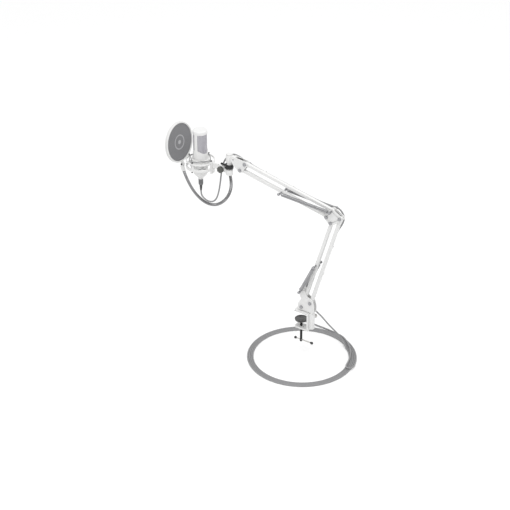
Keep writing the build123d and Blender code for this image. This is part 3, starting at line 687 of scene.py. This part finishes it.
hung = bmesh.new()
turned(hung, [(0, 0.396), (0.0073, 0.396), (0.0079, 0.3966), (0.0079, 0.436), (0.0074, 0.4366),
              (0.006, 0.4366), (0.006, 0.4614), (0.009, 0.4614), (0.0095, 0.4619), (0.0095, 0.4637), (0.0089, 0.4643),
              (0.0050, 0.4644), (0.0046, 0.4639), (0, 0.4638)], (-0.2715, 0, 0), (0, 0, 1), 48)
hanging_post = piece_of(hung, "hanging_post", powder, "post")
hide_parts("mic_post")


# --- Tilt joint ---------------------------------------------------------------------------
# A white fork clamped to the foot of the post takes the shock mount's tongue. A plated bolt crosses them,
# drawn tight by a fluted dark grey knob on the near side.
dress("tilt_fork", powder, 0.0004)
tilt_x, tilt_z = -0.296, 0.4086
tilt_bolt = bmesh.new()
turned(tilt_bolt, [(0, -0.012), (0.0021, -0.012), (0.0025, -0.0116), (0.0025, 0.008), (0, 0.008)],
       (tilt_x, 0, tilt_z), (0, 1, 0), 24)
bolt_end(tilt_bolt, (tilt_x, 0.008, tilt_z), (0, 1, 0), bolt_flats, head_height)
tilt_screw = piece_of(tilt_bolt, "tilt_screw", nickel, "post")
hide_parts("tilt_bolt")

knob_grey = coating("dark grey moulding", (0.075, 0.077, 0.07), 0.5, scale=1800, swing=0.07, relief=0.1,
                    tint=0.06)
knob = bmesh.new()
turned(knob, [(0, 0.0083), (0.005, 0.0083), (0.0055, 0.0086), (0.0055, 0.0092), (0.0095, 0.0092),
              (0.0102, 0.0099), (0.0102, 0.0172), (0.01, 0.0182), (0.0093, 0.0193), (0.0084, 0.0198),
              (0.007, 0.02), (0.0062, 0.02), (0.0059, 0.0196), (0, 0.0196)], (0, 0, 0), (0, 0, 1), 120)
fluted(knob, set(), 6, 0.0013, 0.008, 2.0)
set_down(knob, set(), (tilt_x, 0, tilt_z), (0, -1, 0))
tilt_knob = piece_of(knob, "fluted_knob", knob_grey, "knob")
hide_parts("tilt_knob")


# --- Shock mount --------------------------------------------------------------------------
# A white cage of two hoops and three posts, and inside it a clamped ring that grips the microphone. The ring
# floats on two laces of braided elastic strung between black mushroom hooks and the ring's pins.
mic_x = -0.3819


def beside_mic(reach, degrees, height):
    """A place round the microphone: reach from its axis, degrees anticlockwise from +X, and height."""
    angle = math.radians(degrees)
    return Vector((mic_x + reach * math.cos(angle), reach * math.sin(angle), height))


def woven(name, middle, gap, roughness, scale, relief):
    """Cloth with strands of that many to the metre, one colour at their middles and one between them."""
    made = bpy.data.materials.new(name)
    made.use_nodes = True
    tree = made.node_tree
    shader = tree.nodes["Principled BSDF"]
    shader.inputs["Roughness"].default_value = roughness
    place = tree.nodes.new("ShaderNodeTexCoord")
    strands = tree.nodes.new("ShaderNodeTexVoronoi")
    strands.inputs["Scale"].default_value = scale
    tree.links.new(place.outputs["Object"], strands.inputs["Vector"])
    tones = tree.nodes.new("ShaderNodeMix")
    tones.data_type = "RGBA"
    tones.inputs["A"].default_value = (*middle, 1)
    tones.inputs["B"].default_value = (*gap, 1)
    tree.links.new(strands.outputs["Distance"], tones.inputs["Factor"])
    tree.links.new(tones.outputs["Result"], shader.inputs["Base Color"])
    ridges = tree.nodes.new("ShaderNodeBump")
    ridges.inputs["Strength"].default_value = relief
    ridges.inputs["Distance"].default_value = 0.0002
    tree.links.new(strands.outputs["Distance"], ridges.inputs["Height"])
    tree.links.new(ridges.outputs["Normal"], shader.inputs["Normal"])
    return made


dress("mount_frame", powder, 0.0005)
dress("mic_basket", powder)
hooks = bmesh.new()
for angle in (0, 90, 180, 270):
    reach = 0.0415 if angle == 0 else 0.0435
    for foot_z, up in ((0.416, 1), (0.389, -1)):
        rise = 0.005 if up > 0 else 0.004
        turned(hooks, [(0, 0), (0.0018, 0), (0.0014, 0.0006), (0.0014, rise - 0.0016), (0.0025, rise - 0.0013),
                       (0.0026, rise - 0.0008), (0.0021, rise - 0.0002), (0.001, rise), (0, rise)],
               beside_mic(reach, angle, foot_z), (0, 0, up), 20)
mushroom_hooks = piece_of(hooks, "mushroom_hooks", black_steel, "mount")
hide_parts("cord_hooks")

braid = woven("braided elastic", (0.34, 0.34, 0.35), (0.14, 0.14, 0.145), 0.8, scale=1900, relief=0.4)
laces = bmesh.new()
for outer_z, inner_z in ((0.4182, 0.4212), (0.3874, 0.3958)):
    route = []
    for i in range(9):
        outside = i % 2 == 0
        reach = (0.0398 if i % 8 else 0.0386) if outside else 0.0304
        height = outer_z if outside else inner_z
        middle = beside_mic(reach, 45 * i, height)
        sideways = (beside_mic(reach, 45 * i + 1, height) - middle).normalized() * 0.0012
        if i == 0:
            route += [middle, middle + sideways]
        elif i == 8:
            route += [middle - sideways, middle]
        else:
            route += [middle - sideways, middle, middle + sideways]
    lay_tube(laces, spline_line(route, 5), 0.0011, sides=8)
elastic = piece_of(laces, "elastic_laces", braid, "mount", sharp=60)
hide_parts("elastic_cords")


# --- Microphone ---------------------------------------------------------------------------
# A side-address condenser microphone: a white painted brass tube with a window front and back, a turned cap,
# and a silver sprayed wire grille that screens a gold-sputtered capsule on its holder above the circuit board.
dress("mic_body", powder)
cap = bmesh.new()
cap_curve = [(0.0195 + 0.0035 * math.sin(math.radians(a)), 0.5115 + 0.0035 * math.cos(math.radians(a)))
             for a in range(90, -1, -15)]
turned(cap, [(0, 0.502), (0.0208, 0.502), (0.0208, 0.5065), (0.0227, 0.5065), (0.023, 0.5069), *cap_curve,
             (0.0165, 0.515), (0.0161, 0.5147), (0.0155, 0.5147), (0.0151, 0.515), (0, 0.515)],
       (mic_x, 0, 0), (0, 0, 1), 96)
mic_cap = piece_of(cap, "turned_cap", powder, "mount")
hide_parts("mic_cap")

dark_gauze = coating("inner gauze", (0.16, 0.16, 0.17), 0.5, metallic=0.6, scale=2500, swing=0.1, relief=0.4,
                     tint=0.5)
dress("mic_grille", dark_gauze)
silver_mesh = coating("silver sprayed mesh", (0.50, 0.49, 0.53), 0.42, metallic=0.35, scale=900, swing=0.08,
                      relief=0.05, tint=0.05)
cells_round, cells_high = 88, 44
grille_low, grille_high, grille_reach = 0.4375, 0.506, 0.02135
wires = bmesh.new()
hoop = bmesh.ops.create_circle(wires, segments=cells_round, radius=grille_reach)["verts"]
bmesh.ops.translate(wires, verts=hoop, vec=(mic_x, 0, grille_low))
edges = list({e for v in hoop for e in v.link_edges})
for _ in range(cells_high):
    made = bmesh.ops.extrude_edge_only(wires, edges=edges)["geom"]
    hoop = [g for g in made if isinstance(g, bmesh.types.BMVert)]
    edges = [g for g in made if isinstance(g, bmesh.types.BMEdge) and all(v in hoop for v in g.verts)]
    bmesh.ops.translate(wires, verts=hoop, vec=(0, 0, (grille_high - grille_low) / cells_high))
bmesh.ops.recalc_face_normals(wires, faces=wires.faces)
holes = list(wires.faces)
bmesh.ops.inset_individual(wires, faces=holes, thickness=0.00034, use_even_offset=True)
bmesh.ops.delete(wires, geom=holes, context="FACES_ONLY")
grille = piece_of(wires, "wire_grille", silver_mesh, "mount", sharp=60)
depth = grille.modifiers.new("wire depth", "SOLIDIFY")
depth.thickness = 0.0003
depth.offset = -1

gold = coating("gold sputter", (0.72, 0.52, 0.2), 0.28, metallic=1, scale=400, swing=0.06, relief=0.01)
board = coating("solder mask", (0.02, 0.12, 0.05), 0.35, coat=0.2, scale=400, swing=0.06, relief=0.03,
                tint=0.2)
dress("capsule", gold, 0.0006)
dress("capsule_holder", black_plastic, 0.0004)
dress("circuit_board", board)
dress("xlr_socket", black_plastic)


# --- Three-pin plug -----------------------------------------------------------------------
# The lead's three-pin plug: a die-cast barrel in darkened satin nickel with a seam, and a ribbed rubber boot that
# keeps the lead from kinking.
plug_nickel = coating("darkened nickel", (0.17, 0.17, 0.175), 0.35, metallic=0.8, scale=900, swing=0.08,
                      relief=0.03)
plug = bmesh.new()
turned(plug, [(0, 0.328), (0.0066, 0.328), (0.0071, 0.3285), (0.0073, 0.332), (0.0075, 0.334),
              (0.0075, 0.3384), (0.0071, 0.3388), (0.0071, 0.3398), (0.0075, 0.3402), (0.0075, 0.3484), (0.0072, 0.3488),
              (0.0062, 0.3488), (0.0062, 0.3599), (0.0058, 0.3605), (0, 0.3605)], (mic_x, 0, 0), (0, 0, 1), 64)
plug_barrel = piece_of(plug, "plug_barrel", plug_nickel, "mount")
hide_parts("xlr_plug")
boot_rubber = coating("grey rubber", (0.09, 0.09, 0.092), 0.6, scale=1200, swing=0.08, relief=0.1, tint=0.1)
boot = bmesh.new()
turned(boot, [(0, 0.308), *ribbed(0.0032, 0.0048, 0.308, 0.3265, 7, 0.0005), (0.0048, 0.3268), (0.0048, 0.328),
              (0, 0.328)], (mic_x, 0, 0), (0, 0, 1), 40)
plug_boot = piece_of(boot, "plug_boot", boot_rubber, "mount")
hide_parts("xlr_boot")


# --- Pop filter ---------------------------------------------------------------------------
# Two white moulded hoops snapped together over two stretched nylon screens. The filter tilts on a fork at the
# end of a chromed, strip-wound gooseneck, whose foot is a black clamp round the microphone's post.
pop_middle = Vector((-0.4641, 0, 0.4509))
pop_way = Vector((math.cos(math.radians(7)), 0, math.sin(math.radians(7))))
dress("pop_hoop_rear", clip_white, 0.0006)
hoop_front = bmesh.new()
before = set(hoop_front.verts)
corners = [(0.0595, 0.0012), (0.0599, 0.0006), (0.0641, 0.0006), (0.0645, 0.001), (0.0645, 0.0034),
           (0.0641, 0.0043), (0.0632, 0.0049), (0.0620, 0.005), (0.0608, 0.0049), (0.0599, 0.0042),
           (0.0595, 0.0034)]
section = [hoop_front.verts.new((radius, 0, height)) for radius, height in corners]
section_edges = [hoop_front.edges.new(pair) for pair in zip(section, section[1:] + section[:1])]
bmesh.ops.spin(hoop_front, geom=section + section_edges, cent=(0, 0, 0), axis=(0, 0, 1), angle=2 * math.pi,
               steps=144, use_merge=True)
set_down(hoop_front, before, pop_middle, pop_way)
front_hoop = piece_of(hoop_front, "front_hoop", clip_white, "pop_disc")
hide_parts("pop_hoop_front")

knit = woven("knit nylon", (0.10, 0.10, 0.105), (0.26, 0.26, 0.27), 0.7, scale=1300, relief=0.35)
knit.node_tree.nodes["Principled BSDF"].inputs["Sheen Weight"].default_value = 0.15
knit.node_tree.nodes["Voronoi Texture"].inputs["Randomness"].default_value = 0.25

screen_radius = 0.0593
screens = bmesh.new()
for height in (-0.00115, 0.00175):
    before = set(screens.verts)
    turned(screens, [(0, height - 0.00015), (screen_radius, height - 0.00022),
                     (screen_radius, height + 0.00022), (0, height + 0.00015)], (0, 0, 0), (0, 0, 1), 96)
    set_down(screens, before, pop_middle, pop_way)
nylon = piece_of(screens, "nylon_screens", knit, "pop_disc")
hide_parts("pop_meshes")

print_grey = coating("screen print", (0.42, 0.42, 0.43), 0.6, scale=1300, swing=0.05, relief=0.05, tint=0.1)
emblem = bmesh.new()
before = set(emblem.verts)
turned(emblem, [(0.0205, 0.0018), (0.0205, 0.0021), (0.0235, 0.0021), (0.0235, 0.0018)],
       (0, 0, 0), (0, 0, 1), 64)
turned(emblem, [(0, 0.0018), (0.0065, 0.0018), (0.0065, 0.0021), (0, 0.0021)], (0, 0, 0), (0, 0, 1), 48)
set_down(emblem, before, pop_middle, pop_way)
piece_of(emblem, "ring_and_dot", print_grey, "pop_disc")

goose_route = [
    (-0.283, 0.014, 0.415), (-0.2805, 0.014, 0.389), (-0.275, 0.0135, 0.364), (-0.2745, 0.012, 0.339),
    (-0.283, 0.0095, 0.312), (-0.303, 0.007, 0.285), (-0.331, 0.0045, 0.267), (-0.363, 0.0015, 0.266),
    (-0.391, 0, 0.279), (-0.415, 0, 0.299), (-0.434, 0, 0.326), (-0.448, 0, 0.354), (-0.453, 0, 0.369),
]
goose_line = spline_line(goose_route, 26)
chrome = coating("chromed strip", (0.28, 0.28, 0.285), 0.16, metallic=1, scale=500, swing=0.08, relief=0.01)
neck = bmesh.new()
lay_tube(neck, goose_line, [0.005 if i % 2 else 0.0043 for i in range(len(goose_line))], sides=18)
gooseneck = piece_of(neck, "strip_wound_neck", chrome, "pop", sharp=60)
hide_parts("gooseneck")
dress("pop_clamp", black_steel, 0.0004)
dress("pop_fork", powder, 0.0003)
thumb = bmesh.new()
turned(thumb, [(0, 0), (0.0016, 0), (0.002, 0.0004), (0.002, 0.0172), (0, 0.0172)], (0, 0, 0), (0, 0, 1), 24)
plain = set(thumb.verts)
turned(thumb, [(0, 0.0172), (0.0031, 0.0172), (0.0035, 0.0176), (0.0035, 0.0227), (0.0031, 0.0232),
               (0, 0.0232)], (0, 0, 0), (0, 0, 1), 72)
fluted(thumb, plain, 18, 0.0002, 0.003)
set_down(thumb, set(), (-0.2798, 0, 0.422), (-1, 0, 0))
thumb_screw = piece_of(thumb, "thumb_screw", black_steel, "pop_screw")
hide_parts("pop_clamp_screw")
pivot = bmesh.new()
turned(pivot, [(0, -0.007), (0.0024, -0.007), (0.003, -0.0064), (0.003, -0.005), (0.0015, -0.005),
               (0.0015, 0.005), (0.003, 0.005), (0.003, 0.0064), (0.0024, 0.007), (0, 0.007)],
       (-0.452, 0, 0.3795), (0, 1, 0), 24)
pivot_screw = piece_of(pivot, "filter_pivot_screw", black_steel, "pop")
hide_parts("pop_pivot_screw")
